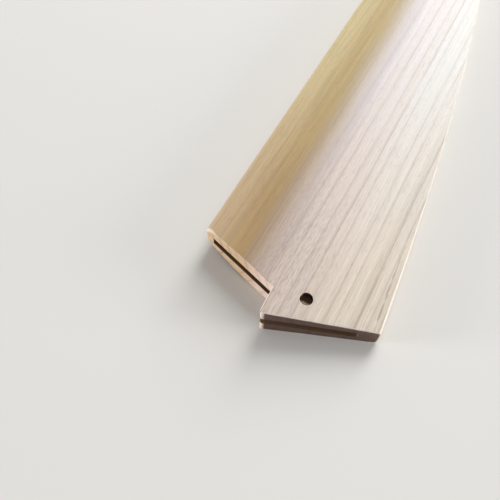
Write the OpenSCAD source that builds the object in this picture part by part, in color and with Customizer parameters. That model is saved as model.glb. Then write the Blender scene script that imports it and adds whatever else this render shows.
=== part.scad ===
// Wooden sheath for the blade of a chef's knife, with a stepped mouth and a lock pin.
// Two shaped boards are glued to two thin strips and a tip block, which leave a slot for the blade.
// Local plan: x runs from the mouth to the tip with 0 at the pin, y is 0 along the spine
// and falls towards the edge side, z is 0 half way through the blade slot.

/* [Blade that it holds] */
// Height of the blade at its heel
blade_h = 49; // [46:0.5:52]
// Length of the blade from its heel to its point
blade_l = 240; // [228:1:252]
// Thickness of the blade at its spine
blade_t = 2.2; // [1.8:0.1:2.6]

/* [Room round the blade] */
// Room above the blade in the slot, and the same below it
face_play = 0.4; // [0.3:0.05:0.6]
// Room between the blade's spine and the spine strip
spine_play = 0.9; // [0.5:0.1:1.5]
// Room between the cutting edge and the edge strip
edge_play = 2.5; // [1.5:0.1:3.5]
// Room past the blade's point
point_play = 4; // [2:0.5:6]
// Room between the lock pin and the blade's heel
heel_play = 0.5; // [0.3:0.1:1]

/* [Walls] */
// Width of the spine strip
spine_wall = 3.5; // [2.5:0.1:4.5]
// Width of the edge strip at the lip
edge_wall = 5.9; // [4.5:0.1:7.5]
// Solid wood between the end of the slot and the tip
tip_wall = 9; // [6:0.5:12]

/* [Section] */
// Thickness of the whole sheath at its ridge, before the ridge is rounded
ridge_t = 13.1; // [12.2:0.1:14]
// Thickness of the whole sheath at the edge side of the lip
edge_t = 6.9; // [6.2:0.1:7.4]
// Distance from the spine to the ridge
ridge_in = 19; // [16:0.5:22]
// Slope of the narrow facet between the ridge and the spine
spine_slope = 7; // [5:0.5:9]
// Radius of the long soft ridge
ridge_r = 60; // [40:1:70]
// Radius of the two rounded corners of the spine
nose_r = 4; // [3:0.1:4.4]
// Width of the flat that breaks the outer arris of the edge side
edge_ease = 0.9; // [0.5:0.1:1.4]

/* [Outline] */
// Slope of the edge side at the lip
belly_lead = 1.7; // [1.2:0.1:2.2]
// Radius of the long curve of the edge side
belly_r = 1600; // [1300:10:1900]
// Length of the tighter curve that runs on from the long one to the tip
tip_run = 90; // [75:1:105]
// Width of the tip at its end, before its corners are rounded
tip_w = 20; // [18:0.5:24]
// Radius of the tip's corner on the edge side
tip_corner_r = 9; // [5:0.5:11]
// Radius of the tip's corner on the spine side
tip_spine_r = 4; // [2:0.5:6]
// Length of the slot's curve round the blade's belly, which the tip block holds
pocket_run = 116; // [100:1:130]

/* [Mouth] */
// Slant of the mouth's cut on the spine side, which leans back towards the tip at the spine
mouth_slant = 19.5; // [14:0.5:22]
// Slant of the lip's end, which leans back towards the tip at the edge side
lip_slant = 18.2; // [14:0.1:22]
// Distance from the spine to the inner corner of the step
step_in = 28.7; // [26:0.1:30]
// Length of the step along the sheath, to where its two sides would meet
step_l = 9.2; // [8:0.1:11]
// Radius of the step's outer corner
step_r = 1; // [0.6:0.1:1.6]
// Distance from the pin to the inner corner of the step, towards the mouth
step_back = 1.2; // [0:0.1:2]

/* [Lock pin] */
// Diameter of the hole for the lock pin
pin_hole_d = 4; // [3.6:0.1:4.4]
// Radial clearance of the pin in its hole
pin_gap = 0.06; // [0.03:0.01:0.09]
// Distance from the spine to the pin
pin_in = 38.9; // [37:0.1:41]
// Depth of the pin's top below the front face
pin_sink = 0.9; // [0.5:0.1:1.2]
// Height of the pin's foot above the back face
pin_foot = 0.5; // [0.3:0.1:0.8]
// Height of the chamfer at each end of the pin
pin_ease = 0.5; // [0.3:0.1:0.7]

/* [Hidden] */
$fn = 64;
big_fn = 1440;
over = 3;

slot_h = blade_t + 2 * face_play;
guard_w = spine_wall + spine_play + blade_h + edge_play + edge_wall;
ridge_h = ridge_t / 2;
edge_h = edge_t / 2;
facet = atan((ridge_h - edge_h) / (guard_w - ridge_in));
shoulder_h = ridge_h - ridge_in * tan(spine_slope);

pin_r = pin_hole_d / 2 - pin_gap;
pin_face_h = ridge_h - (pin_in - ridge_in) * tan(facet);
pin_top = pin_face_h - pin_sink;
pin_bottom = -pin_face_h + pin_foot;

heel_x = pin_r + heel_play;
pocket_end = heel_x + blade_l + point_play;
tip_x = pocket_end + tip_wall;

// The step's inner corner is near the pin, its outer corner is round and is the sheath's nearest end
step_in_pt = [-step_back, -step_in];
step_out_pt = step_in_pt - [step_l, 0];
step_c = step_out_pt + step_r * [tan(lip_slant) + 1 / cos(lip_slant), -1];
near_x = step_c.x - step_r;
mouth_spine_x = step_in_pt.x + step_in * tan(mouth_slant);
lip_x = step_out_pt.x + (guard_w + step_out_pt.y) * tan(lip_slant);

// The two curves of the edge side, which meet without a corner
belly_c = [lip_x - belly_r * sin(belly_lead), -guard_w + belly_r * cos(belly_lead)];
mouth_x = step_out_pt.x - over;
mouth_turn = asin((mouth_x - belly_c.x) / belly_r);
run_end = tip_x - tip_run;
run_turn = asin((run_end - belly_c.x) / belly_r);
run_pt = belly_c + belly_r * [sin(run_turn), -cos(run_turn)];
tip_r = tangent_r(run_pt, run_turn, [tip_x, -tip_w]);
tip_c = run_pt + tip_r * [-sin(run_turn), cos(run_turn)];
corner_turn = asin((tip_x - tip_corner_r - tip_c.x) / (tip_r - tip_corner_r));
tip_corner_c = tip_c + (tip_r - tip_corner_r) * [sin(corner_turn), -cos(corner_turn)];
tip_spine_c = [tip_x - tip_spine_r, -tip_spine_r];

// The slot's far side keeps the edge wall, then curves up to meet the spine strip
wall_r = belly_r - edge_wall;
pocket_turn = asin((pocket_end - pocket_run - belly_c.x) / wall_r);
pocket_pt = belly_c + wall_r * [sin(pocket_turn), -cos(pocket_turn)];
pocket_r = tangent_r(pocket_pt, pocket_turn, [pocket_end, -spine_wall]);
pocket_c = pocket_pt + pocket_r * [-sin(pocket_turn), cos(pocket_turn)];
pocket_last = asin((pocket_end - pocket_c.x) / pocket_r);

// The sheath lies on the flat of its back board, centred over the origin
nose_c_h = shoulder_h + nose_r * tan(spine_slope) - nose_r / cos(spine_slope);
lift = guard_w * sin(facet) + edge_h * cos(facet);
far_y = nose_c_h * sin(facet) + nose_r * (1 - cos(facet));
near_y = -guard_w * cos(facet) - (edge_h - edge_ease) * sin(facet);
mid = [(near_x + tip_x) / 2, (far_y + near_y) / 2];

// Radius of the arc that leaves a point at a slope and ends at another point
function tangent_r(start, turn, end) =
    let (span = end - start) (span * span) / (2 * (span * [-sin(turn), cos(turn)]));

// Points on an arc, with the angle measured from -y towards +x
function arc(c, r, from, to, steps) =
    [for (i = [0 : steps]) let (a = from + (to - from) * i / steps) c + r * [sin(a), -cos(a)]];

module placed() {
    translate([-mid.x, -mid.y, lift]) rotate([facet, 0, 0]) children();
}

// Plan of the whole sheath without its mouth cuts
module outline() {
    polygon(concat(
        [[mouth_x, 0]],
        arc(belly_c, belly_r, mouth_turn, run_turn, 24),
        arc(tip_c, tip_r, run_turn, corner_turn, 24),
        arc(tip_corner_c, tip_corner_r, corner_turn, 90, 10),
        arc(tip_spine_c, tip_spine_r, 90, 180, 8)
    ));
}

// What the two slanted cuts and the step take from the mouth
module mouth_cut() {
    start = mouth_x - over;
    polygon(concat(
        [[start, over],
        [mouth_spine_x + over * tan(mouth_slant), over],
        step_in_pt],
        arc(step_c, step_r, 180, 270 + lip_slant, 6),
        [[lip_x + over * tan(lip_slant), -guard_w - over],
        [start, -guard_w - over]]
    ));
}

module plan() {
    difference() {
        outline();
        mouth_cut();
    }
}

// Where the blade lies, between the spine strip and the edge strip
module pocket() {
    polygon(concat(
        [[mouth_x - over, -spine_wall]],
        arc(belly_c, wall_r, mouth_turn - (pocket_turn - mouth_turn) / 20, pocket_turn, 21),
        arc(pocket_c, pocket_r, pocket_turn, pocket_last, 30)
    ));
}

// Upper half of the section: y runs to the edge side, the height is above the slot's middle
module half_section() {
    ridge_c_h = ridge_h - ridge_r * cos((spine_slope - facet) / 2) / cos((spine_slope + facet) / 2);
    ridge_c_y = -ridge_in - ridge_r * sin((spine_slope - facet) / 2) / cos((spine_slope + facet) / 2);
    far = guard_w + 2 * over;
    polygon(concat(
        [[0, 0]],
        [for (i = [0 : 8]) let (a = i * (90 - spine_slope) / 8)
            [-nose_r + nose_r * cos(a), nose_c_h + nose_r * sin(a)]],
        [for (i = [0 : 8]) let (a = 90 - spine_slope + i * (spine_slope + facet) / 8)
            [ridge_c_y + ridge_r * cos(a), ridge_c_h + ridge_r * sin(a)]],
        [[-far, ridge_h - (far - ridge_in) * tan(facet)]],
        [[-far, 0]]
    ));
}

// The section drawn out along the sheath
module bar() {
    length = tip_x - mouth_x + 2 * over;
    translate([mouth_x - over, 0, 0])
        rotate([90, 0, 90])
            linear_extrude(height = length)
                half_section();
}

// Cutter for the flat along one curve of the edge side, in the plane of the facet
module ease_ring(c, r, x_from, x_to) {
    intersection() {
        translate([x_from, -2 * guard_w, -ridge_t])
            cube([x_to - x_from, 2 * guard_w, 3 * ridge_t]);
        translate([0, -guard_w, edge_h])
            rotate([facet, 0, 0])
                translate([c.x, c.y + guard_w, 0])
                    rotate_extrude($fn = big_fn)
                        polygon([
                            [r - edge_ease - over, over],
                            [r + over, over],
                            [r + over, -edge_ease - over]
                        ]);
    }
}

// One outer board above the slot, shaped outside and flat inside
module board() {
    difference() {
        intersection() {
            bar();
            linear_extrude(height = ridge_t) plan();
        }
        translate([mouth_x - over, -guard_w - 3 * over, -over])
            cube([tip_x - mouth_x + 2 * over, guard_w + 4 * over, over + slot_h / 2]);
        ease_ring(belly_c, belly_r, mouth_x, run_end);
        ease_ring(tip_c, tip_r, run_end, tip_corner_c.x + tip_corner_r * sin(corner_turn));
        translate([0, -pin_in, 0])
            cylinder(h = ridge_t, d = pin_hole_d);
    }
}

module front_board() {
    color("wheat") placed() board();
}

module back_board() {
    color("burlywood") placed() mirror([0, 0, 1]) board();
}

// What lies between the boards from one place along the sheath to another
module liner(x_from, x_to, y_from, y_to) {
    translate([0, 0, -slot_h / 2])
        linear_extrude(height = slot_h)
            difference() {
                intersection() {
                    plan();
                    translate([x_from, y_from])
                        square([x_to - x_from, y_to - y_from]);
                }
                pocket();
            }
}

module spine_strip() {
    color("tan") placed() liner(mouth_x, tip_x + over, -spine_wall, over);
}

module edge_strip() {
    color("peru") placed() liner(mouth_x, pocket_pt.x, -guard_w - over, -spine_wall);
}

module tip_block() {
    color("chocolate") placed() liner(pocket_pt.x, tip_x + over, -guard_w - over, -spine_wall);
}

module lock_pin() {
    nose = pin_r - pin_ease;
    color("saddlebrown")
        placed()
            translate([0, -pin_in, 0])
                rotate_extrude()
                    polygon([
                        [0, pin_bottom],
                        [nose, pin_bottom],
                        [pin_r, pin_bottom + pin_ease],
                        [pin_r, pin_top - pin_ease],
                        [nose, pin_top],
                        [0, pin_top]
                    ]);
}

front_board();
back_board();
spine_strip();
edge_strip();
tip_block();
lock_pin();
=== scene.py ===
import math
import bpy
from mathutils import Matrix, Vector


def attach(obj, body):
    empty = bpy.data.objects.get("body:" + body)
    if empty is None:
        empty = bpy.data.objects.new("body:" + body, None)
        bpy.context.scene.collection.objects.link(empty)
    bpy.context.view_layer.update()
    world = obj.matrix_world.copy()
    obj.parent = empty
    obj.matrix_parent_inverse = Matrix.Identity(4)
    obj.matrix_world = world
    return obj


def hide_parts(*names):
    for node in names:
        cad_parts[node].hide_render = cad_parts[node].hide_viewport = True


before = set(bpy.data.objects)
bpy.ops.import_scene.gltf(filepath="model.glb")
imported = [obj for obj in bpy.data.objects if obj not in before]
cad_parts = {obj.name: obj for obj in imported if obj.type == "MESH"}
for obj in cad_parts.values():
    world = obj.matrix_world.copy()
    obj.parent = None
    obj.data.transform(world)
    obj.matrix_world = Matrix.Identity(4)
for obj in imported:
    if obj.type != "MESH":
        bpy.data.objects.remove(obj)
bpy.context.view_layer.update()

print("frame loaded, nodes:", ", ".join(sorted(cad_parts)))

mm = 0.001
upright = (0, 0, 1)


# Picking and cutting, as by hand

def dropSelection():
    if bpy.context.object and bpy.context.object.mode != "OBJECT":
        bpy.ops.object.mode_set(mode="OBJECT")
    bpy.ops.object.select_all(action="DESELECT")


def takeUp(piece):
    dropSelection()
    piece.select_set(True)
    bpy.context.view_layer.objects.active = piece


def editAll(piece):
    takeUp(piece)
    bpy.ops.object.mode_set(mode="EDIT")
    bpy.ops.mesh.select_mode(type="VERT")
    bpy.ops.mesh.select_all(action="SELECT")


def doneEditing():
    bpy.ops.object.mode_set(mode="OBJECT")


def startChain(name, point):
    dropSelection()
    bpy.ops.mesh.primitive_plane_add(size=1 * mm, location=point)
    chain = bpy.context.object
    chain.name = name
    bpy.ops.object.transform_apply(location=True, rotation=True, scale=True)
    editAll(chain)
    bpy.ops.mesh.merge(type="CENTER")
    return chain


def lineBy(step):
    bpy.ops.mesh.extrude_vertices_move(TRANSFORM_OT_translate={"value": step})


def arcBy(centre, axis, degrees, steps):
    # spin turns the other way from a right-handed angle
    bpy.ops.mesh.spin(steps=steps, angle=-math.radians(degrees), center=centre, axis=axis)


def fillChain():
    # the last point falls on the first, but for the rounding of long arcs
    closeBy = 0.05 * mm
    bpy.ops.mesh.select_all(action="SELECT")
    bpy.ops.mesh.remove_doubles(threshold=closeBy)
    bpy.ops.mesh.edge_face_add()


def pullOut(step):
    bpy.ops.mesh.extrude_region_move(TRANSFORM_OT_translate={"value": step})
    bpy.ops.mesh.select_all(action="SELECT")
    bpy.ops.mesh.normals_make_consistent(inside=False)
    doneEditing()


def combine(piece, other, how):
    takeUp(piece)
    bpy.ops.object.modifier_add(type="BOOLEAN")
    change = piece.modifiers[-1]
    change.object = other
    change.operation = how
    change.solver = "EXACT"
    bpy.ops.object.modifier_apply(modifier=change.name)
    takeUp(other)
    bpy.ops.object.delete()


def copyOf(piece, name):
    takeUp(piece)
    bpy.ops.object.duplicate(linked=False)
    twin = bpy.context.object
    twin.name = name
    return twin


# Common sizes of the sheath, in its own plan: x from the mouth to the tip with 0 at the pin,
# y falling from the spine to the edge side, z from the middle of the slot

sheath = {
    "fitHeight": 49 * mm,      # what goes in, without its play
    "fitLength": 240 * mm,
    "slotHeight": 3 * mm,
    "spineWall": 3.5 * mm,
    "edgeWall": 5.9 * mm,
    "tipWall": 9 * mm,
    "spinePlay": 0.9 * mm,
    "edgePlay": 2.5 * mm,
    "pointPlay": 4 * mm,
    "heelPlay": 0.5 * mm,
    "ridgeHeight": 6.55 * mm,
    "edgeHeight": 3.45 * mm,
    "ridgeIn": 19 * mm,
    "spineSlope": 7,
    "ridgeRadius": 60 * mm,
    "noseRadius": 4 * mm,
    "edgeEase": 0.9 * mm,
    "bellyLead": 1.7,
    "bellyRadius": 1600 * mm,
    "tipRun": 90 * mm,
    "tipWidth": 20 * mm,
    "tipCorner": 9 * mm,
    "tipSpine": 4 * mm,
    "pocketRun": 116 * mm,
    "pocketLead": 0.7,         # degrees of the slot's curve outside the mouth
    "mouthSlant": 19.5,
    "lipSlant": 18.2,
    "stepIn": 28.7 * mm,
    "stepLength": 9.2 * mm,    # to where the two sides of its rounded corner would meet
    "stepBack": 1.2 * mm,
    "pinIn": 38.9 * mm,
    "pinHole": 2 * mm,
    "pinRadius": 1.94 * mm,
    "stepRadius": 1 * mm,
    "nearNose": (1.6, 2.6, 3.5, 4.6, 6, 8, 11),   # cuts across the slant, in millimetres from the spine
    "noseCorner": 1.1 * mm,    # upright corners of the mouth, through all three layers
    "stepCorner": 0.55 * mm,
    "lipCorner": 0.55 * mm,
    "steps": {"belly": 56, "tip": 44, "tipCorner": 14, "tipSpine": 12, "slot": 44, "slotTip": 60},
}


def tan(degrees):
    return math.tan(math.radians(degrees))


def sin(degrees):
    return math.sin(math.radians(degrees))


def cos(degrees):
    return math.cos(math.radians(degrees))


def onArc(centre, radius, turn):
    return Vector((centre.x + radius * sin(turn), centre.y - radius * cos(turn), 0))


def tangentRadius(start, turn, end):
    span = end - start
    return span.dot(span) / (2 * (span.y * cos(turn) - span.x * sin(turn)))


def turnAt(x, centre, radius):
    return math.degrees(math.asin((x - centre.x) / radius))


slotHalf = sheath["slotHeight"] / 2
width = (sheath["spineWall"] + sheath["spinePlay"] + sheath["fitHeight"]
         + sheath["edgePlay"] + sheath["edgeWall"])
facetFall = sheath["ridgeHeight"] - sheath["edgeHeight"]
facet = math.degrees(math.atan(facetFall / (width - sheath["ridgeIn"])))
pocketEnd = sheath["pinRadius"] + sheath["heelPlay"] + sheath["fitLength"] + sheath["pointPlay"]
tipX = pocketEnd + sheath["tipWall"]

stepInner = Vector((-sheath["stepBack"], -sheath["stepIn"], 0))
stepOuter = stepInner - Vector((sheath["stepLength"], 0, 0))
mouthAtSpine = Vector((stepInner.x + sheath["stepIn"] * tan(sheath["mouthSlant"]), 0, 0))
lipCorner = Vector((stepOuter.x + (width + stepOuter.y) * tan(sheath["lipSlant"]), -width, 0))
nearX = stepOuter.x + sheath["stepRadius"] * (tan(sheath["lipSlant"]) + 1 / cos(sheath["lipSlant"]) - 1)

towardsBelly = Vector((-sin(sheath["bellyLead"]), cos(sheath["bellyLead"]), 0))
bellyCentre = lipCorner + sheath["bellyRadius"] * towardsBelly
runTurn = turnAt(tipX - sheath["tipRun"], bellyCentre, sheath["bellyRadius"])
runPoint = onArc(bellyCentre, sheath["bellyRadius"], runTurn)
tipRadius = tangentRadius(runPoint, runTurn, Vector((tipX, -sheath["tipWidth"], 0)))
tipCentre = runPoint + tipRadius * Vector((-sin(runTurn), cos(runTurn), 0))
cornerTurn = turnAt(tipX - sheath["tipCorner"], tipCentre, tipRadius - sheath["tipCorner"])
cornerCentre = onArc(tipCentre, tipRadius - sheath["tipCorner"], cornerTurn)

wallRadius = sheath["bellyRadius"] - sheath["edgeWall"]
pocketTurn = turnAt(pocketEnd - sheath["pocketRun"], bellyCentre, wallRadius)
pocketPoint = onArc(bellyCentre, wallRadius, pocketTurn)
pocketRadius = tangentRadius(pocketPoint, pocketTurn, Vector((pocketEnd, -sheath["spineWall"], 0)))
pocketCentre = pocketPoint + pocketRadius * Vector((-sin(pocketTurn), cos(pocketTurn), 0))
pocketLast = turnAt(pocketEnd, pocketCentre, pocketRadius)

shoulder = sheath["ridgeHeight"] - sheath["ridgeIn"] * tan(sheath["spineSlope"])
noseHeight = shoulder + sheath["noseRadius"] * (tan(sheath["spineSlope"]) - 1 / cos(sheath["spineSlope"]))

# The sheath lies on the flat of its back board, centred over the origin
lift = width * sin(facet) + sheath["edgeHeight"] * cos(facet)
farY = noseHeight * sin(facet) + sheath["noseRadius"] * (1 - cos(facet))
nearY = -width * cos(facet) - (sheath["edgeHeight"] - sheath["edgeEase"]) * sin(facet)
placing = (Matrix.Translation((-(nearX + tipX) / 2, -(farY + nearY) / 2, lift))
           @ Matrix.Rotation(math.radians(facet), 4, "X"))


def mouthLine():
    # corners of the mouth from the spine to the edge side, with a few where the rim widens
    slant = stepInner - mouthAtSpine
    lip = lipCorner - stepOuter
    near = [mouthAtSpine + slant * (place * mm / sheath["stepIn"]) for place in sheath["nearNose"]]
    wall = stepOuter + lip * ((width + stepOuter.y - sheath["edgeWall"]) / (width + stepOuter.y))
    return [mouthAtSpine] + near + [stepInner, stepOuter, wall, lipCorner]


def planBlock(name, low, high):
    block = startChain(name, (lipCorner.x, lipCorner.y, low))
    steps = sheath["steps"]
    arcBy((bellyCentre.x, bellyCentre.y, low), upright, runTurn - sheath["bellyLead"], steps["belly"])
    arcBy((tipCentre.x, tipCentre.y, low), upright, cornerTurn - runTurn, steps["tip"])
    arcBy((cornerCentre.x, cornerCentre.y, low), upright, 90 - cornerTurn, steps["tipCorner"])
    lineBy((0, -sheath["tipSpine"] - cornerCentre.y, 0))
    arcBy((tipX - sheath["tipSpine"], -sheath["tipSpine"], low), upright, 90, steps["tipSpine"])
    here = Vector((tipX - sheath["tipSpine"], 0, 0))
    for there in mouthLine():
        lineBy(tuple(there - here))
        here = there
    fillChain()
    pullOut((0, 0, high - low))
    return block


def pocketBlock(name, low, high):
    first = sheath["bellyLead"] - sheath["pocketLead"]
    start = onArc(bellyCentre, wallRadius, first)
    block = startChain(name, (start.x, start.y, low))
    steps = sheath["steps"]
    arcBy((bellyCentre.x, bellyCentre.y, low), upright, pocketTurn - first, steps["slot"])
    arcBy((pocketCentre.x, pocketCentre.y, low), upright, pocketLast - pocketTurn, steps["slotTip"])
    lineBy((start.x - pocketEnd, 0, 0))
    fillChain()
    pullOut((0, 0, high - low))
    return block


# Where the soft ridge has its centre, and where the section bends
slope = sheath["spineSlope"]
ridgeY = -sheath["ridgeIn"] - sheath["ridgeRadius"] * sin((slope - facet) / 2) / cos((slope + facet) / 2)
ridgeZ = sheath["ridgeHeight"] - sheath["ridgeRadius"] * cos((slope - facet) / 2) / cos((slope + facet) / 2)
bends = [-sheath["noseRadius"] * (1 - sin(slope)),
         ridgeY + sheath["ridgeRadius"] * sin(slope),
         ridgeY - sheath["ridgeRadius"] * sin(facet)]


def sectionHeight(y):
    # up round the nose, over the ridge and down the long facet
    if y > bends[0]:
        inNose = min(sheath["noseRadius"], abs(y + sheath["noseRadius"]))
        return noseHeight + math.sqrt(sheath["noseRadius"] ** 2 - inNose ** 2)
    if y > bends[1]:
        return shoulder - y * tan(slope)
    if y > bends[2]:
        return ridgeZ + math.sqrt(sheath["ridgeRadius"] ** 2 - (y - ridgeY) ** 2)
    return sheath["ridgeHeight"] + (y + sheath["ridgeIn"]) * tan(facet)


def sectionRows():
    # cuts along the board, close together on the nose and even over the ridge
    nose = sheath["noseRadius"]
    noseCuts = (6, 12, 18, 24, 31, 38, 45, 52, 60, 68, 76)
    ridgeCuts = 16
    rows = [-nose + nose * cos(turn) for turn in noseCuts] + [bends[0]]
    rows += [bends[1] + (bends[2] - bends[1]) * step / ridgeCuts for step in range(ridgeCuts + 1)]
    return rows


# Edges that turn, with where they lie and the normals on both sides

def turningEdges(piece, least=25):
    sides = {}
    for face in piece.data.polygons:
        for key in face.edge_keys:
            sides.setdefault(key, []).append(face.normal.copy())
    found = []
    for edge in piece.data.edges:
        normals = sides.get(tuple(sorted(edge.vertices)), [])
        if len(normals) != 2 or normals[0].angle(normals[1], 0) < math.radians(least):
            continue
        ends = [piece.data.vertices[v].co for v in edge.vertices]
        found.append((edge, (ends[0] + ends[1]) / 2, ends[1] - ends[0], normals))
    return found


def roundEdges(piece, sizeOf, least=25, segments=4):
    # each turning edge gets its own width, and what the bevel made is marked for the wear and the painted
    # highlight
    widest = 2 * mm
    weights = piece.data.attributes.get("bevel_weight_edge")
    if weights is None:
        weights = piece.data.attributes.new("bevel_weight_edge", "FLOAT", "EDGE")
    weights.data.foreach_set("value", [0.0] * len(piece.data.edges))
    for edge, middle, span, normals in turningEdges(piece, least):
        weights.data[edge.index].value = min(1, sizeOf(middle, span, normals) / widest)
    for name in ("body", "arris"):
        piece.data.materials.append(bpy.data.materials.new(piece.name + name))
    takeUp(piece)
    bpy.ops.object.modifier_add(type="BEVEL")
    bevel = piece.modifiers[-1]
    bevel.limit_method = "WEIGHT"
    bevel.width = widest
    bevel.segments = segments
    bevel.material = 1
    bevel.use_clamp_overlap = False
    bevel.loop_slide = False
    bpy.ops.object.modifier_apply(modifier=bevel.name)
    onArris = [True] * len(piece.data.vertices)
    for face in piece.data.polygons:
        if face.material_index == 0:
            for v in face.vertices:
                onArris[v] = False
    wornAndLit = piece.data.attributes.get("arris")
    if wornAndLit is None:
        wornAndLit = piece.data.attributes.new("arris", "FLOAT", "POINT")
    for on, spot in zip(onArris, wornAndLit.data):
        spot.value = 1 if on else spot.value
    piece.data.polygons.foreach_set("material_index", [0] * len(piece.data.polygons))
    piece.data.materials.clear()


def smoothOff(piece, angle=40):
    takeUp(piece)
    bpy.ops.object.shade_smooth_by_angle(angle=math.radians(angle), keep_sharp_edges=True)
    bpy.ops.object.modifier_add(type="WEIGHTED_NORMAL")
    even = piece.modifiers[-1]
    even.keep_sharp = True
    even.weight = 60
    bpy.ops.object.modifier_apply(modifier=even.name)


def setDown(piece, body, slot, *nodes):
    # turns the sheath's own plan to where the CAD lies
    piece.matrix_world = placing
    takeUp(piece)
    bpy.ops.object.transform_apply(location=True, rotation=True, scale=True)
    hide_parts(*nodes)
    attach(piece, body)


# Boards: one is shaped and the other is its mirror

board = {
    "blank": 4 * mm,           # thickness before the section is worked
    "easeIn": 2.2 * mm,        # narrow facet planed along the edge side at the lip
    "easeRun": 96 * mm,
    "easeSlope": 8,
    "arris": 0.32 * mm,
    "noseArris": 0.95 * mm,
    "noseFrom": 9 * mm,        # the mouth's arris widens from here towards the nose
    "noseRun": 7 * mm,
    "edgeArris": 0.7 * mm,
    "tipArris": 1.7 * mm,
    "tipFrom": 60 * mm,        # the edge side's arris widens from here towards the tip
    "tipRun": 50 * mm,
    "holeRim": 0.16 * mm,
    "holeGuides": 6 * mm,      # cuts on both sides of the hole
    "holeSteps": 64,
    "drillLong": 14 * mm,      # goes right through one board
    "drillAt": 4 * mm,
    "innerSkin": 0.4 * mm,     # stays flat against the slot
    "merge": 0.004 * mm,
}
boardTop = slotHalf + board["blank"]


# How an edge is told by where it lies and by the sides that meet in it
edgeTest = {
    "nearCorner": 1 * mm,
    "nearMouth": 0.2 * mm,
    "nearCut": 0.1 * mm,
    "nearOutside": 0.5 * mm,
    "upright": 0.3,            # the most that an upright side looks up or down
    "uprightSpan": 0.9,        # the least that an upright edge rises, against its length
    "toMouth": -0.1,
    "toSpine": 0.95,
}


def pastMouth(middle):
    return middle.x > mouthAtSpine.x + edgeTest["nearCorner"]


def cornerSize(middle):
    near = edgeTest["nearCorner"]
    if middle.y > -near:
        return sheath["noseCorner"]
    if middle.y < -width + near:
        return sheath["lipCorner"]
    if middle.x > stepOuter.x + near:
        return sheath["stepCorner"]
    return sheath["stepRadius"] / tan(45 - sheath["lipSlant"] / 2)


def boardEdge(middle, span, normals):
    level = [abs(n.z) < edgeTest["upright"] for n in normals]
    if all(level):
        return 0 if pastMouth(middle) else cornerSize(middle)
    if middle.z < slotHalf + edgeTest["nearCut"]:
        return 0                 # the slot's side stays sharp
    wall = normals[0] if level[0] else normals[1]
    if wall.x < edgeTest["toMouth"] and middle.x < mouthAtSpine.x + edgeTest["nearMouth"]:
        toNose = min(1, max(0, (middle.y + board["noseFrom"]) / board["noseRun"]))
        return board["arris"] + (board["noseArris"] - board["arris"]) * toNose
    if wall.y > edgeTest["toSpine"]:
        # the step's own rim, while the spine gets its round later
        return board["arris"] if middle.x < stepInner.x + edgeTest["nearCorner"] else 0
    toTip = min(1, max(0, (middle.x - tipX + board["tipFrom"]) / board["tipRun"]))
    size = board["edgeArris"] + (board["tipArris"] - board["edgeArris"]) * toTip ** 2
    return size * min(1, max(0, -middle.y / sheath["tipSpine"]) ** 0.5)


# The eased strip starts inside the lip's corner and runs out along the edge side
easeStart = lipCorner + Vector((0, board["easeIn"], 0))
easeTurn = turnAt(board["easeRun"], bellyCentre, sheath["bellyRadius"])
easeEnd = onArc(bellyCentre, sheath["bellyRadius"], easeTurn)
alongEase = (easeEnd - easeStart).normalized()
outward = Vector((alongEase.y, -alongEase.x, 0))


def planeLip(piece):
    # one flat stroke
    face = Vector(upright) * cos(board["easeSlope"]) + outward * sin(board["easeSlope"])
    editAll(piece)
    bpy.ops.mesh.bisect(plane_co=(easeStart.x, easeStart.y, boardTop), plane_no=tuple(face),
                        use_fill=True, clear_outer=True)
    doneEditing()


def layOver(piece):
    # the flat blank takes the section's height, and its rounded rims go with it
    leastRoom = sheath["edgeHeight"] - slotHalf
    for vertex in piece.data.vertices:
        depth = boardTop - vertex.co.z
        if depth > board["blank"] - board["innerSkin"]:
            continue
        height = sectionHeight(min(0, vertex.co.y))
        room = min(1, (height - slotHalf) / leastRoom)
        vertex.co.z = height - depth * room
    editAll(piece)
    bpy.ops.mesh.remove_doubles(threshold=board["merge"])
    bpy.ops.mesh.normals_make_consistent(inside=False)
    doneEditing()


def boreHole(piece):
    # lines through the middle of the hole first, so that each face ends at a corner
    editAll(piece)
    bpy.ops.mesh.bisect(plane_co=(0, -sheath["pinIn"], 0), plane_no=(0, 1, 0))
    for place in (-board["holeGuides"], 0, board["holeGuides"]):
        bpy.ops.mesh.select_all(action="SELECT")
        bpy.ops.mesh.bisect(plane_co=(place, 0, 0), plane_no=(1, 0, 0))
    dropSelection()
    bpy.ops.mesh.primitive_cylinder_add(vertices=board["holeSteps"], radius=sheath["pinHole"],
                                        depth=board["drillLong"],
                                        location=(0, -sheath["pinIn"], board["drillAt"]))
    drill = bpy.context.object
    bpy.ops.object.transform_apply(location=True, rotation=True, scale=True)
    combine(piece, drill, "DIFFERENCE")
    roundEdges(piece, rimEdge, segments=3)


def rimEdge(middle, span, normals):
    fromHole = (middle.x ** 2 + (middle.y + sheath["pinIn"]) ** 2) ** 0.5
    onFace = middle.z > slotHalf + edgeTest["nearOutside"]
    return board["holeRim"] if onFace and fromHole < sheath["pinHole"] + edgeTest["nearCut"] else 0


def makeBoard(name):
    piece = planBlock(name, slotHalf, boardTop)
    planeLip(piece)
    roundEdges(piece, boardEdge)
    editAll(piece)
    for row in sectionRows():
        bpy.ops.mesh.select_all(action="SELECT")
        bpy.ops.mesh.bisect(plane_co=(0, row, 0), plane_no=(0, 1, 0))
    doneEditing()
    layOver(piece)
    boreHole(piece)
    return piece


frontBoard = makeBoard("frontBoard")
print("front board shaped,", len(frontBoard.data.polygons), "faces")

backBoard = copyOf(frontBoard, "backBoard")
editAll(backBoard)
bpy.ops.transform.resize(value=(1, 1, -1), center_override=(0, 0, 0))
bpy.ops.mesh.normals_make_consistent(inside=False)
doneEditing()


# Strips that keep the boards apart, cut from the same plan with the slot taken out

strips = {
    "slotCorner": 0.25 * mm,   # upright corners on the slot's side
    "past": 5 * mm,            # how far the saw runs past the plan
    "over": 4 * mm,            # and how far over and under it
}


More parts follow.
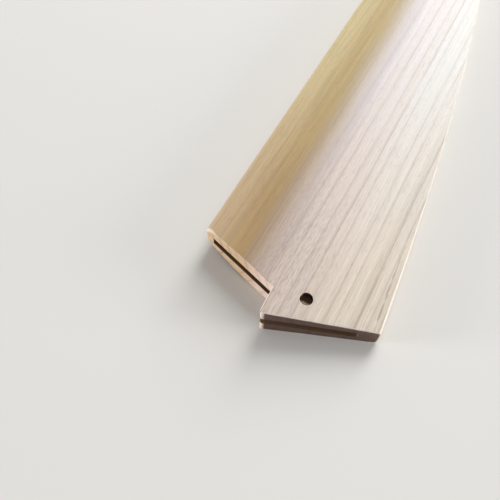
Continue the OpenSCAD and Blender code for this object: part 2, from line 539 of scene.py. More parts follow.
def sawBlock(name, low, high):
    dropSelection()
    size = Vector(high) - Vector(low)
    bpy.ops.mesh.primitive_cube_add(size=1, location=(Vector(low) + Vector(high)) / 2, scale=size)
    block = bpy.context.object
    block.name = name
    bpy.ops.object.transform_apply(location=True, rotation=True, scale=True)
    return block


def stripEdge(middle, span, normals):
    if abs(span.z) < edgeTest["uprightSpan"] * span.length or pastMouth(middle):
        return 0
    near = edgeTest["nearOutside"]
    outside = middle.y > -near or middle.y < -width + near
    return cornerSize(middle) if outside else strips["slotCorner"]


def makeStrip(name, fromX, toX, fromY, toY):
    piece = planBlock(name, -slotHalf, slotHalf)
    saw = sawBlock("saw", (fromX, fromY, -strips["over"]), (toX, toY, strips["over"]))
    combine(piece, saw, "INTERSECT")
    combine(piece, pocketBlock("pocket", -strips["over"], strips["over"]), "DIFFERENCE")
    roundEdges(piece, stripEdge)
    return piece


beforeMouth, pastTip = stepOuter.x - strips["past"], tipX + strips["past"]
spineInner, pastEdge = -sheath["spineWall"], -width - strips["past"]
spineStrip = makeStrip("spineStrip", beforeMouth, pastTip, spineInner, strips["past"])
edgeStrip = makeStrip("edgeStrip", beforeMouth, pocketPoint.x, pastEdge, spineInner)
tipBlock = makeStrip("tipBlock", pocketPoint.x, pastTip, pastEdge, spineInner)


# Pin, turned on its own axis

pin = {
    "sunk": 0.9 * mm,          # top below the front face
    "raised": 0.5 * mm,        # foot above the back face
    "ease": 0.5 * mm,
    "crown": 0.12 * mm,
    "crownRim": 0.9,           # share of the ease that the top's slope takes
    "rim": 0.16 * mm,
    "merge": 0.002 * mm,
    "steps": 64,
    "chafe": (0.9, 1.5),       # across the top, from the dark side to the lit one
    "chafeDepth": (3.4, 3.9),  # height over the slot's middle, in millimetres
    "chafeScale": (1.3, 1.3, 1.3),
    "chafeMost": 0.8,
    "chafed": (176, 152, 126),
}


def makePin(name):
    radius = sheath["pinRadius"]
    ease = pin["ease"]
    slopeIn = ease * pin["crownRim"]
    face = sectionHeight(-sheath["pinIn"])
    piece = startChain(name, (0, -sheath["pinIn"], pin["raised"] - face))
    lineBy((radius - ease, 0, 0))
    lineBy((ease, 0, ease))
    lineBy((0, 0, 2 * face - pin["sunk"] - pin["raised"] - 2 * ease))
    lineBy((-slopeIn, 0, ease - pin["crown"]))
    lineBy((slopeIn - radius, 0, pin["crown"]))
    bpy.ops.mesh.select_all(action="SELECT")
    arcBy((0, -sheath["pinIn"], 0), upright, 360, pin["steps"])
    bpy.ops.mesh.select_all(action="SELECT")
    bpy.ops.mesh.remove_doubles(threshold=pin["merge"])
    bpy.ops.mesh.normals_make_consistent(inside=False)
    doneEditing()
    roundEdges(piece, lambda middle, span, normals: pin["rim"], least=20, segments=3)
    return piece


lockPin = makePin("lockPin")
print("strips and pin shaped")

for piece in (frontBoard, backBoard, spineStrip, edgeStrip, tipBlock, lockPin):
    smoothOff(piece)

setDown(frontBoard, "sheath", "front_wood", "front_board")
setDown(backBoard, "sheath", "back_wood", "back_board")
setDown(spineStrip, "sheath", "strip_wood", "spine_strip")
setDown(edgeStrip, "sheath", "strip_wood", "edge_strip")
setDown(tipBlock, "sheath", "strip_wood", "tip_block")
setDown(lockPin, "pin", "pin_wood", "lock_pin")


# Wood: groups that every part's own material draws on

def paint(red, green, blue):
    # written as the eye sees it, 0 to 255
    def straight(part):
        part = part / 255
        return part / 12.92 if part <= 0.04045 else ((part + 0.055) / 1.055) ** 2.4
    return (straight(red), straight(green), straight(blue), 1)


def addNode(tree, kind, x, y, **settings):
    node = tree.nodes.new(kind)
    node.location = (x, y)
    for name, value in settings.items():
        setattr(node, name, value)
    return node


def plugIn(tree, value, socket):
    # takes another node's socket, a plain number or a colour
    if isinstance(value, bpy.types.NodeSocket):
        tree.links.new(value, socket)
    else:
        socket.default_value = value


def reckon(tree, how, first, second, x, y):
    # one step of arithmetic
    node = addNode(tree, "ShaderNodeMath", x, y, operation=how)
    plugIn(tree, first, node.inputs[0])
    if second is not None:
        plugIn(tree, second, node.inputs[1])
    return node.outputs[0]


def between(tree, value, low, high, x, y, toLow=0, toHigh=1):
    node = addNode(tree, "ShaderNodeMapRange", x, y, interpolation_type="SMOOTHSTEP")
    node.inputs["From Min"].default_value = low
    node.inputs["From Max"].default_value = high
    node.inputs["To Min"].default_value = toLow
    node.inputs["To Max"].default_value = toHigh
    tree.links.new(value, node.inputs["Value"])
    return node.outputs["Result"]


def blendColours(tree, how, amount, first, second, x, y):
    node = addNode(tree, "ShaderNodeMix", x, y, data_type="RGBA", blend_type=how)
    for place, value in ((0, amount), (6, first), (7, second)):
        plugIn(tree, value, node.inputs[place])
    return node.outputs[2]


def noiseAt(tree, vector, scale, x, y, detail=2, roughness=0.5):
    # noise drawn out along one side or another, in millimetres
    stretch = addNode(tree, "ShaderNodeMapping", x - 200, y)
    stretch.inputs["Scale"].default_value = scale
    tree.links.new(vector, stretch.inputs["Vector"])
    noise = addNode(tree, "ShaderNodeTexNoise", x, y)
    noise.inputs["Scale"].default_value = 1
    noise.inputs["Detail"].default_value = detail
    noise.inputs["Roughness"].default_value = roughness
    tree.links.new(stretch.outputs[0], noise.inputs["Vector"])
    return noise.outputs["Fac"]


def swingBy(tree, noise, amount, x, y):
    # noise that swings both ways about zero
    return reckon(tree, "MULTIPLY", reckon(tree, "SUBTRACT", noise, 0.5, x, y), amount, x + 150, y)


def sidesOf(tree, vector, x, y):
    node = addNode(tree, "ShaderNodeSeparateXYZ", x, y)
    tree.links.new(vector, node.inputs[0])
    return node.outputs


def facingAlong(tree, side, x, y):
    # how squarely the surface looks along one side, either way
    surface = addNode(tree, "ShaderNodeTexCoord", x - 200, y)
    return reckon(tree, "ABSOLUTE", sidesOf(tree, surface.outputs["Normal"], x, y)[side], None, x + 200, y)


def startGroup(name, gives, **amounts):
    # a vector and some amounts go in, values between 0 and 1 or heights come out
    tree = bpy.data.node_groups.new(name, "ShaderNodeTree")
    tree.interface.new_socket(name="Vector", in_out="INPUT", socket_type="NodeSocketVector")
    for label, amount in amounts.items():
        socket = tree.interface.new_socket(name=label, in_out="INPUT", socket_type="NodeSocketFloat")
        socket.default_value = amount
    for label in gives:
        tree.interface.new_socket(name=label, in_out="OUTPUT", socket_type="NodeSocketFloat")
    return tree, addNode(tree, "NodeGroupInput", -1200, 0), addNode(tree, "NodeGroupOutput", 900, 0)


def giveOut(tree, gives, **values):
    for label, value in values.items():
        tree.links.new(value, gives.inputs[label])


# Scales of noise are per millimetre; places are millimetres in the sheath's own plan
ringShape = {
    "drift": (0.008, 0.03, 0.03),
    "shiver": (0.05, 0.5, 0.5),
    "shiverBy": 0.35,
    "unevenScale": 0.13,       # wide and narrow years
    "unevenBy": 1.1,
    "profile": ((0, 0.3), (0.04, 0.3), (0.5, 0.05), (0.78, 0.28), (0.92, 1), (0.98, 0.8), (1, 1)),
    "strength": (0.55, 1.1),   # from the faintest ring to the strongest
    "breakScale": (0.03, 0.6, 0.6),
    "breaks": (0.3, 0.6),
    "broken": 0.55,
}


def makeRings():
    # yearly rings round a heart that runs along x, each darkening to a line at its end
    tree, takes, gives = startGroup("growthRings", ("Line", "Tone"), Spacing=3.6, Wander=1.2)
    vector = takes.outputs["Vector"]
    sides = sidesOf(tree, vector, -1000, 200)
    across = addNode(tree, "ShaderNodeCombineXYZ", -850, 200)
    tree.links.new(sides["Y"], across.inputs["Y"])
    tree.links.new(sides["Z"], across.inputs["Z"])
    reach = addNode(tree, "ShaderNodeVectorMath", -700, 200, operation="LENGTH")
    tree.links.new(across.outputs[0], reach.inputs[0])
    drift = noiseAt(tree, vector, ringShape["drift"], -800, -100, detail=1)
    drift = swingBy(tree, drift, takes.outputs["Wander"], -600, -100)
    shiver = noiseAt(tree, vector, ringShape["shiver"], -800, -350)
    shiver = swingBy(tree, shiver, ringShape["shiverBy"], -600, -350)
    radius = reckon(tree, "ADD", reach.outputs["Value"], drift, -300, 100)
    radius = reckon(tree, "ADD", radius, shiver, -200, 0)
    uneven = addNode(tree, "ShaderNodeTexNoise", -350, -500, noise_dimensions="1D")
    uneven.inputs["Scale"].default_value = 1
    uneven.inputs["Detail"].default_value = 1
    plugIn(tree, reckon(tree, "MULTIPLY", radius, ringShape["unevenScale"], -500, -500), uneven.inputs["W"])
    uneven = reckon(tree, "MULTIPLY", uneven.outputs["Fac"], ringShape["unevenBy"], -50, -500)
    turns = reckon(tree, "DIVIDE", radius, takes.outputs["Spacing"], -50, 100)
    turns = reckon(tree, "ADD", turns, uneven, 100, 100)
    ramp = addNode(tree, "ShaderNodeValToRGB", 400, 200)
    marks = ramp.color_ramp.elements
    for place, shade in ringShape["profile"]:
        mark = marks[0] if place == 0 else marks[-1] if place == 1 else marks.new(place)
        mark.color = (shade, shade, shade, 1)
    tree.links.new(reckon(tree, "FRACT", turns, None, 250, 150), ramp.inputs[0])
    pick = addNode(tree, "ShaderNodeTexWhiteNoise", 400, -100, noise_dimensions="1D")
    tree.links.new(reckon(tree, "FLOOR", turns, None, 250, -100), pick.inputs["W"])
    strength = between(tree, pick.outputs["Value"], 0, 1, 550, -100, *ringShape["strength"])
    breaks = noiseAt(tree, vector, ringShape["breakScale"], 400, -700)
    breaks = between(tree, breaks, *ringShape["breaks"], 550, -500, ringShape["broken"], 1)
    strength = reckon(tree, "MULTIPLY", strength, breaks, 700, -100)
    line = reckon(tree, "MULTIPLY", ramp.outputs["Color"], strength, 800, 200)
    giveOut(tree, gives, Line=line, Tone=pick.outputs["Value"])
    return tree


fibreShape = {
    "fibre": {"scale": (0.03, 2.4, 2.4), "detail": 3, "roughness": 0.65},
    "streak": {"scale": (0.007, 0.22, 0.22), "detail": 3, "roughness": 0.6},
    "pore": {"scale": (0.3, 4.2, 4.2), "detail": 1},
    "poreFrom": (0.56, 0.7),
    "fleck": {"scale": (0.42, 3.2, 3.2), "detail": 1},
    "fleckFrom": (0.5, 0.64),
}


def makeFibres():
    # fibres, broad streaks, and the short dark pores and flecks between them
    tree, takes, gives = startGroup("woodFibres", ("Fibre", "Streak", "Pore", "Fleck"))
    along = takes.outputs["Vector"]
    pore = noiseAt(tree, along, x=-600, y=-300, **fibreShape["pore"])
    fleck = noiseAt(tree, along, x=-600, y=-600, **fibreShape["fleck"])
    giveOut(tree, gives,
            Fibre=noiseAt(tree, along, x=-600, y=300, **fibreShape["fibre"]),
            Streak=noiseAt(tree, along, x=-600, y=0, **fibreShape["streak"]),
            Pore=between(tree, pore, *fibreShape["poreFrom"], -300, -300),
            Fleck=between(tree, fleck, *fibreShape["fleckFrom"], -300, -600))
    return tree


cutShape = {
    "facing": (0.45, 0.8),
    "lip": (-29.9, -30.5),     # past the step's rounded corner
}


def makeEndGrain():
    # where the fibres are cut across, and how far that is on the lip, whose end gets painted shade
    tree, takes, gives = startGroup("endGrain", ("Mask", "Lip"))
    lean = facingAlong(tree, "X", -700, 0)
    place = sidesOf(tree, takes.outputs["Vector"], -700, -300)
    giveOut(tree, gives,
            Mask=between(tree, lean, *cutShape["facing"], -300, 0),
            Lip=between(tree, place["Y"], *cutShape["lip"], -300, -300))
    return tree


wearAndHighlightShape = {
    "patchScale": (0.12, 0.3, 0.3),
    "patches": (0.3, 0.6),
    "leastRubbed": 0.6,
    "slantEdgeSide": (-29, -26),
    "slantSpine": (-2, -6),
    "slantRun": (12, 10),
    "slantRubbed": 0.2,
}


def makeWearAndHighlight():
    # rims lighter from wear and painted highlight, uneven along their length and hardly lighter on the
    # mouth's slant
    tree, takes, gives = startGroup("wearAndHighlightGroup", ("Worn",), Amount=0.6)
    rims = addNode(tree, "ShaderNodeAttribute", -900, 200, attribute_name="arris")
    patches = noiseAt(tree, takes.outputs["Vector"], wearAndHighlightShape["patchScale"], -600, -100, 3, 0.6)
    patches = between(tree, patches, *wearAndHighlightShape["patches"], -300, -100, wearAndHighlightShape["leastRubbed"], 1)
    wornAndLit = reckon(tree, "MULTIPLY", rims.outputs["Fac"], patches, -100, 100)
    sides = sidesOf(tree, takes.outputs["Vector"], -900, -500)
    slant = reckon(tree, "MULTIPLY",
                   between(tree, sides["Y"], *wearAndHighlightShape["slantEdgeSide"], -600, -400),
                   between(tree, sides["Y"], *wearAndHighlightShape["slantSpine"], -600, -500), -400, -400)
    run = between(tree, sides["X"], *wearAndHighlightShape["slantRun"], -600, -600)
    slant = reckon(tree, "MULTIPLY", slant, run, -200, -400)
    spared = between(tree, slant, 0, 1, -100, -300, 1, wearAndHighlightShape["slantRubbed"])
    wornAndLit = reckon(tree, "MULTIPLY", wornAndLit, spared, 0, 0)
    giveOut(tree, gives, Worn=reckon(tree, "MULTIPLY", wornAndLit, takes.outputs["Amount"], 100, 100))
    return tree


heartShape = {
    "swing": (0.02, 0.05, 0.05),
    "swingBy": 5,
    "heart": (-26.5, -15),
    "ridge": (-23, -14.5),     # painted shade comes in under the ridge
    "ridgeSpine": (-3, -14),   # and goes towards the spine
    # painted grey shade beside the ridge
    "beside": (-29, -24.5),
    "besideSpine": (-13.5, -18.5),
    "far": (5, 125),
    "blush": (-52, -30),
    "speckle": (-48, -27),
    "speckleSpine": (-13, -20),
    "speckleRun": (95, 5),
}


def makeHeartBand():
    # olive heartwood from the ridge to the spine with painted shade, darkest under the ridge,
    # and a blush, a painted grey shade and specks beside it
    tree, takes, gives = startGroup("heartBand", ("Heart", "Ridge", "Beside", "Far", "Blush", "Speckle"))
    sides = sidesOf(tree, takes.outputs["Vector"], -1000, 0)
    swing = noiseAt(tree, takes.outputs["Vector"], heartShape["swing"], -900, 300)
    swing = swingBy(tree, swing, heartShape["swingBy"], -700, 300)
    across = reckon(tree, "ADD", sides["Y"], swing, -400, 300)

    def band(name, y, value=across):
        return between(tree, value, *heartShape[name], -200, y)

    ridge = reckon(tree, "MULTIPLY", band("ridge", 0), band("ridgeSpine", -100, sides["Y"]), 0, 0)
    beside = reckon(tree, "MULTIPLY", band("beside", -200), band("besideSpine", -250), 0, -200)
    speckle = reckon(tree, "MULTIPLY", band("speckle", -700), band("speckleSpine", -800), 0, -700)
    speckle = reckon(tree, "MULTIPLY", speckle, band("speckleRun", -900, sides["X"]), 200, -700)
    giveOut(tree, gives, Heart=band("heart", 300), Ridge=ridge, Beside=beside,
            Far=band("far", -300, sides["X"]), Blush=band("blush", -500), Speckle=speckle)
    return tree


seamAndSlotShadeShape = {
    "line": (0.03, 0.16),
    "wall": (0.02, 0.08),
    "facing": (0.7, 0.9),
}


def makeSeamsAndSlotShade():
    # thin dark lines where the layers meet, and painted shade on the boards' inner faces in the slot
    tree, takes, gives = startGroup("seamsAndSlotShade", ("Line", "Slot"))
    height = sidesOf(tree, takes.outputs["Vector"], -1000, 0)["Z"]
    fromMiddle = reckon(tree, "ABSOLUTE", height, None, -800, 0)
    off = reckon(tree, "SUBTRACT", fromMiddle, slotHalf / mm, -600, 0)
    off = reckon(tree, "ABSOLUTE", off, None, -450, 0)
    level = between(tree, facingAlong(tree, "Z", -800, -300), *seamAndSlotShadeShape["facing"], -400, -300)
    wall = between(tree, off, *seamAndSlotShadeShape["wall"], -400, -500, 1, 0)
    giveOut(tree, gives,
            Line=between(tree, off, *seamAndSlotShadeShape["line"], -200, 0, 1, 0),
            Slot=reckon(tree, "MULTIPLY", level, wall, -100, -300))
    return tree


planeShape = {"waves": (0.02, 0.09, 0.09), "height": 0.12}


def makePlaneMarks():
    # faint waves left by the hand plane
    tree, takes, gives = startGroup("planeMarks", ("Height",))
    waves = noiseAt(tree, takes.outputs["Vector"], planeShape["waves"], -600, 0, detail=1)
    giveOut(tree, gives, Height=reckon(tree, "MULTIPLY", waves, planeShape["height"], -300, 0))
    return tree


creaseShape = {
    "blurScale": (0.25, 1.4, 1.4),
    "line": (0.1, 0.42),
    "run": (60, 4),
    "breaks": (0.36, 0.55),
    "broken": 0.3,
}


def makeCrease():
    # a broken dark line where the eased strip meets the facet, fading away from the lip
    tree, takes, gives = startGroup("easeCrease", ("Mask",))
    offset = addNode(tree, "ShaderNodeVectorMath", -900, 0, operation="SUBTRACT")
    offset.inputs[1].default_value = easeStart / mm
    tree.links.new(takes.outputs["Vector"], offset.inputs[0])
    flat = addNode(tree, "ShaderNodeVectorMath", -700, 0, operation="DOT_PRODUCT")
    flat.inputs[1].default_value = outward
    tree.links.new(offset.outputs["Vector"], flat.inputs[0])
    blur = noiseAt(tree, takes.outputs["Vector"], creaseShape["blurScale"], -700, -300, 3, 0.6)
    blurred = reckon(tree, "SUBTRACT", blur, 0.5, -500, -200)
    off = reckon(tree, "ADD", flat.outputs["Value"], blurred, -200, 0)
    off = reckon(tree, "ABSOLUTE", off, None, -100, 0)
    line = between(tree, off, *creaseShape["line"], 0, 0, 1, 0)
    along = sidesOf(tree, takes.outputs["Vector"], -700, -600)["X"]
    line = reckon(tree, "MULTIPLY", line, between(tree, along, *creaseShape["run"], 0, -300), 200, 0)
    breaks = between(tree, blur, *creaseShape["breaks"], 0, -600, creaseShape["broken"], 1)
    giveOut(tree, gives, Mask=reckon(tree, "MULTIPLY", line, breaks, 400, 0))
    return tree


rings, fibres = makeRings(), makeFibres()
endGrain, wearAndHighlightGroup = makeEndGrain(), makeWearAndHighlight()
heartBand, seamsAndSlotShade = makeHeartBand(), makeSeamsAndSlotShade()
planeMarks, easeCrease = makePlaneMarks(), makeCrease()


def useGroup(tree, group, x, y, **values):
    node = addNode(tree, "ShaderNodeGroup", x, y, node_tree=group)
    for label, value in values.items():
        plugIn(tree, value, node.inputs[label])
    return node.outputs


def sheathPlan(tree, x, y):
    # Object coordinates turned back to the sheath's own plan, in millimetres
    surface = addNode(tree, "ShaderNodeTexCoord", x - 200, y)
    back = placing.inverted()
    turn = addNode(tree, "ShaderNodeMapping", x, y)
    turn.inputs["Scale"].default_value = (1 / mm, 1 / mm, 1 / mm)
    turn.inputs["Rotation"].default_value = back.to_euler()
    turn.inputs["Location"].default_value = back.translation / mm
    tree.links.new(surface.outputs["Object"], turn.inputs["Vector"])
    return turn.outputs[0]


woodShape = {
    "streaks": (0.42, 0.72),
    "quietInHeart": 0.45,      # how much of the ring lines the heartwood hides
    "fibres": (0.25, 0.75),
    "fleckFloor": 0.25,
    "endLine": (176, 150, 122),
    "roughFibres": (0.2, 0.8),
    "roughLess": 0.05,
    "roughMore": 0.06,
    "roughEnd": 0.15,
    "smoothWorn": 0.1,
    "fibreHeight": 0.02,
    "poreDepth": 0.02,
    "lineDepth": 0.012,
}


def makeWood(name, look):
    wood = bpy.data.materials.new(name)
    wood.use_nodes = True
    tree = wood.node_tree
    shader = tree.nodes["Principled BSDF"]
    shader.location = (1900, 0)
    tree.nodes["Material Output"].location = (2200, 0)
    plan = sheathPlan(tree, -1400, 0)
    heart = addNode(tree, "ShaderNodeMapping", -1200, 200)
    heart.inputs["Rotation"].default_value = [math.radians(turn) for turn in look["lean"]]
    heart.inputs["Location"].default_value = look["heartAt"]
    tree.links.new(plan, heart.inputs["Vector"])
    grain = heart.outputs[0]
    ring = useGroup(tree, rings, -900, 500, Vector=grain, Spacing=look["spacing"], Wander=look["wander"])
    fibre = useGroup(tree, fibres, -900, 250, Vector=grain)
    band = useGroup(tree, heartBand, -900, 0, Vector=plan)
    cut = useGroup(tree, endGrain, -900, -250, Vector=plan)
    seamsAndShade = useGroup(tree, seamsAndSlotShade, -900, -450, Vector=plan)
    wear = useGroup(tree, wearAndHighlightGroup, -900, -650, Vector=plan, Amount=look["wear"])
    marks = useGroup(tree, planeMarks, -900, -850, Vector=plan)
    crease = useGroup(tree, easeCrease, -900, -1000, Vector=plan)

    def share(value, amount, x, y):
        return reckon(tree, "MULTIPLY", value, amount, x, y)

    def mix(amount, first, second, x, y):
        return blendColours(tree, "MIX", amount, first, second, x, y)

    def over(under, amount, tone, x, how="MIX"):
        return blendColours(tree, how, amount, under, paint(*look[tone]), x, 400)

    # pale wood with a blush beside the ridge, broad streaks, then the heartwood
    colour = mix(band["Far"], paint(*look["pale"]), paint(*look["farPale"]), -650, 400)
    colour = over(colour, share(ring["Tone"], look["ringTone"], -700, 550), "warm", -500)
    colour = over(colour, share(band["Blush"], look["heartwood"], -700, 150), "blush", -350, "MULTIPLY")
    streak = between(tree, fibre["Streak"], *woodShape["streaks"], -700, 300, 0, look["streak"])
    colour = over(colour, streak, "brown", -200)
    heartTone = mix(band["Far"], paint(*look["heart"]), paint(*look["farHeart"]), -300, 0)
    inHeart = share(band["Heart"], look["heartwood"], -500, 100)
    colour = mix(inHeart, colour, heartTone, -50, 400)
    # painted shade under the ridge, and a painted grey shade beside it
    colour = over(colour, share(band["Ridge"], look["heartwood"], -500, -50), "ridge", 100, "MULTIPLY")
    colour = over(colour, share(band["Beside"], look["heartwood"], -500, -150), "beside", 180, "MULTIPLY")

    # ring lines, fibres, pores and flecks
    line = share(ring["Line"], look["line"], -700, 450)
    quiet = share(inHeart, woodShape["quietInHeart"], -300, 550)
    quiet = share(line, reckon(tree, "SUBTRACT", 1, quiet, -150, 550), 0, 550)
    colour = over(colour, quiet, "late", 250)
    shade = between(tree, fibre["Fibre"], *woodShape["fibres"], 50, 150,
                    1 - look["fibre"], 1 + look["fibre"])
    colour = blendColours(tree, "MULTIPLY", 1, colour, shade, 400, 400)
    colour = over(colour, share(fibre["Pore"], look["pore"], 300, 150), "poreShade", 550)
    fleck = reckon(tree, "ADD", fibre["Fleck"], woodShape["fleckFloor"], 0, 50)
    fleck = share(share(fleck, band["Speckle"], 150, 50), look["fleck"], 300, 50)
    colour = over(colour, fleck, "late", 700)
    colour = over(colour, share(crease["Mask"], look["crease"], 700, 200), "poreShade", 780)

    # cut ends with painted light on the mouth and painted shade on the lip, painted shade in the slot, glue
    # lines, and rims lighter from wear and painted highlight
    endwise = share(cut["Mask"], look["endShade"], 300, -250)
    # the mouth's end grain is painted lighter: painted light
    endToneLitAndShaded = mix(inHeart, paint(*look["mouthEnd"]), paint(*look["heartEnd"]), 400, -50)
    # the lip's end grain is darker wood with painted shade over it
    endToneLitAndShaded = mix(cut["Lip"], endToneLitAndShaded, paint(*look["lipEnd"]), 550, -50)
    endToneLitAndShaded = blendColours(tree, "MULTIPLY", 1, endToneLitAndShaded, shade, 700, -50)
    endToneLitAndShaded = blendColours(tree, "MULTIPLY", line, endToneLitAndShaded, paint(*woodShape["endLine"]), 780, -50)
    colour = mix(endwise, colour, endToneLitAndShaded, 850, 400)
    # painted shade on the inner faces of the slot
    colour = over(colour, share(seamsAndShade["Slot"], look["slot"], 850, 100), "slotShade", 1000)
    colour = over(colour, share(seamsAndShade["Line"], look["seam"], 1000, 100), "poreShade", 1150)
    # rims made lighter: partly wear, partly painted highlight
    colour = over(colour, wear["Worn"], "rubbed", 1300)
    tree.links.new(colour, shader.inputs["Base Color"])

    rough = between(tree, fibre["Fibre"], *woodShape["roughFibres"], 850, -100,
                    look["rough"] - woodShape["roughLess"], look["rough"] + woodShape["roughMore"])
    rougher = share(endwise, woodShape["roughEnd"], 850, -300)
    rough = reckon(tree, "ADD", rough, rougher, 1000, -100)
    smoother = share(wear["Worn"], woodShape["smoothWorn"], 850, -450)
    rough = reckon(tree, "SUBTRACT", rough, smoother, 1150, -100)
    tree.links.new(rough, shader.inputs["Roughness"])
    shader.inputs["Specular IOR Level"].default_value = look["gloss"]

    # the surface: fibres stand, pores and ring ends sink
    height = share(fibre["Fibre"], woodShape["fibreHeight"], 850, -600)
    pores = share(fibre["Pore"], woodShape["poreDepth"], 850, -700)
    height = reckon(tree, "SUBTRACT", height, pores, 1000, -600)
    lines = share(ring["Line"], woodShape["lineDepth"], 850, -800)
    height = reckon(tree, "SUBTRACT", height, lines, 1150, -600)
    height = reckon(tree, "ADD", height, marks["Height"], 1300, -600)
    bump = addNode(tree, "ShaderNodeBump", 1600, -400)
    bump.inputs["Distance"].default_value = 1 * mm
    bump.inputs["Strength"].default_value = look["bump"]
    tree.links.new(height, bump.inputs["Height"])
    tree.links.new(bump.outputs["Normal"], shader.inputs["Normal"])
    return wood


frontLook = {
    "heartAt": (0, -140, 52),
    "lean": (0, 0.4, 1.5),
    "spacing": 3.7,
    "wander": 1,
    "pale": (216, 204, 187),
    "farPale": (207, 207, 202),
    "warm": (209, 195, 176),
    "brown": (190, 168, 142),
    "blush": (250, 243, 250),
    "heart": (194, 167, 131),
    "farHeart": (207, 188, 140),
    # painted shade under and beside the ridge
    "ridge": (227, 217, 187),
    "beside": (228, 224, 226),
    "late": (152, 133, 119),
    "poreShade": (120, 90, 62),
    # end grain with painted light at the mouth and painted shade on the lip, then painted shade in the slot
    "mouthEnd": (253, 228, 212),
    "heartEnd": (228, 194, 156),
    "lipEnd": (78, 36, 24),
    "slotShade": (96, 72, 48),
    # rims lighter from wear and painted highlight
    "rubbed": (250, 240, 228),
    "ringTone": 0.4,
    "line": 0.66,
    "streak": 0.18,
    "heartwood": 1,
    "fibre": 0.12,
    "pore": 0.22,
    "fleck": 0.42,
    "crease": 0.55,
    "endShade": 0.9,
    "slot": 0.8,
    "seam": 0.55,
    "wear": 0.85,
    "rough": 0.42,
    "gloss": 0.5,
    "bump": 0.35,
}
backLook = dict(frontLook, heartAt=(30, -128, -70), lean=(0, -0.5, 1.8), spacing=4.1,
                pale=(209, 196, 176), crease=0.3)
stripLook = dict(frontLook, heartAt=(55, 96, 40), lean=(0, 0.3, -1.5), spacing=3,
                 pale=(204, 188, 164), line=0.45, crease=0)
tipLook = dict(stripLook, heartAt=(120, 108, 60), lean=(0, 0.3, 6))
pinLook = {
    "heartAt": (0, 39.8, 0),
    "lean": (0, 90, 0),
    "spacing": 0.8,
    "wander": 0.3,
    "pale": (52, 33, 19),
    "farPale": (52, 33, 19),
    "warm": (44, 27, 15),
    "brown": (38, 22, 12),
    "blush": (255, 255, 255),
    "heart": (58, 36, 20),
    "farHeart": (58, 36, 20),
    "ridge": (255, 255, 255),
    "beside": (255, 255, 255),
    "late": (36, 20, 10),
    "poreShade": (26, 14, 8),
    "mouthEnd": (46, 30, 18),
    "heartEnd": (46, 30, 18),
    "lipEnd": (46, 30, 18),
    "slotShade": (46, 30, 18),
    "rubbed": (128, 96, 66),
    "ringTone": 0.8,
    "line": 0.5,
    "streak": 0.5,
    "heartwood": 0,
    "fibre": 0.12,
    "pore": 0.3,
    "fleck": 0,
    "crease": 0,
    "endShade": 0.3,
    "slot": 0,
    "seam": 0,
    "wear": 0.4,
    "rough": 0.7,
    "gloss": 0.08,
    "bump": 0.3,
}

for piece, look in ((frontBoard, frontLook), (backBoard, backLook), (spineStrip, stripLook),
                    (edgeStrip, stripLook), (tipBlock, tipLook), (lockPin, pinLook)):
    piece.data.materials.append(makeWood(piece.name + "Wood", look))


def paintPinTopLight(wood):
    # painted light: the lit side of the pin's top is painted paler
    tree = wood.node_tree
    shader = tree.nodes["Principled BSDF"]
    under = shader.inputs["Base Color"].links[0].from_socket
    plan = sheathPlan(tree, -1400, 900)
    sides = sidesOf(tree, plan, -1000, 900)
    blur = noiseAt(tree, plan, pin["chafeScale"], -800, 1100, 3)
    lean = reckon(tree, "SUBTRACT", blur, sides["X"], -600, 900)
    chafed = between(tree, lean, *pin["chafe"], -400, 900, 0, pin["chafeMost"])
    depth = between(tree, sides["Z"], *pin["chafeDepth"], -400, 1100)
    chafed = reckon(tree, "MULTIPLY", chafed, depth, -200, 900)
    colour = blendColours(tree, "MIX", chafed, under, paint(*pin["chafed"]), 1600, 900)
    tree.links.new(colour, shader.inputs["Base Color"])


paintPinTopLight(lockPin.data.materials[0])
print("wood ready")


# Floor, light and camera

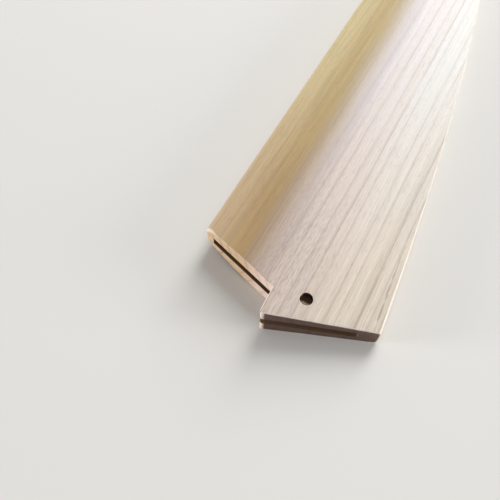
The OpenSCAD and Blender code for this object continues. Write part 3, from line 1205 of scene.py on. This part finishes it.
studio = {
    "floor": (226, 224, 220),
    "floorSize": 6,
    "floorDrop": 0.01 * mm,
    "floorRough": 0.85,
    "aim": (-90 * mm, 10 * mm, 0),
    "window": {"from": (0.79, -0.08, 0.61), "away": 2.2, "power": 46, "wide": 0.9, "tall": 2},
    "side": {"from": (-0.45, 0.88, 0.14), "strength": 1.9, "softness": 20},
    "edge": {"from": (0.3, -0.93, 0.22), "strength": 1.3, "softness": 20},
    "room": 0.35,
}
view = {
    "at": (-185.52 * mm, -31.985 * mm, 137.48 * mm),
    "turned": (33.428, 3.734, -62.529),
    "lens": 35.64,
    "sensor": 36,
    "nearest": 10 * mm,
    "farthest": 20,
}

dropSelection()
bpy.ops.mesh.primitive_plane_add(size=studio["floorSize"], location=(0, 0, -studio["floorDrop"]))
floor = bpy.context.object
floor.name = "floor"
floorPaint = bpy.data.materials.new("floorPaint")
floorPaint.use_nodes = True
floorShader = floorPaint.node_tree.nodes["Principled BSDF"]
floorShader.inputs["Base Color"].default_value = paint(*studio["floor"])
floorShader.inputs["Roughness"].default_value = studio["floorRough"]
floor.data.materials.append(floorPaint)


def hangLamp(name, kind, away):
    sizes = studio[name]
    toLamp = Vector(sizes["from"]).normalized()
    bpy.ops.object.light_add(type=kind, location=Vector(studio["aim"]) + toLamp * away)
    lamp = bpy.context.object
    lamp.name = name + "Lamp"
    lamp.rotation_euler = (-toLamp).to_track_quat("-Z", "Y").to_euler()
    return lamp.data, sizes


# a tall window panel towards the tip, and two soft low lights along the long sides
window, sizes = hangLamp("window", "AREA", studio["window"]["away"])
window.shape = "RECTANGLE"
window.energy = sizes["power"]
window.size = sizes["wide"]
window.size_y = sizes["tall"]
for name in ("side", "edge"):
    low, sizes = hangLamp(name, "SUN", 1)
    low.energy = sizes["strength"]
    low.angle = math.radians(sizes["softness"])

room = bpy.data.worlds.new("room")
room.use_nodes = True
room.node_tree.nodes["Background"].inputs["Color"].default_value = (1, 1, 1, 1)
room.node_tree.nodes["Background"].inputs["Strength"].default_value = studio["room"]
bpy.context.scene.world = room

bpy.ops.object.camera_add(location=view["at"], rotation=[math.radians(turn) for turn in view["turned"]])
camera = bpy.context.object
camera.data.lens = view["lens"]
camera.data.sensor_width = view["sensor"]
camera.data.clip_start = view["nearest"]
camera.data.clip_end = view["farthest"]
bpy.context.scene.camera = camera
bpy.context.scene.view_settings.view_transform = "Standard"
print("floor, light and camera set")
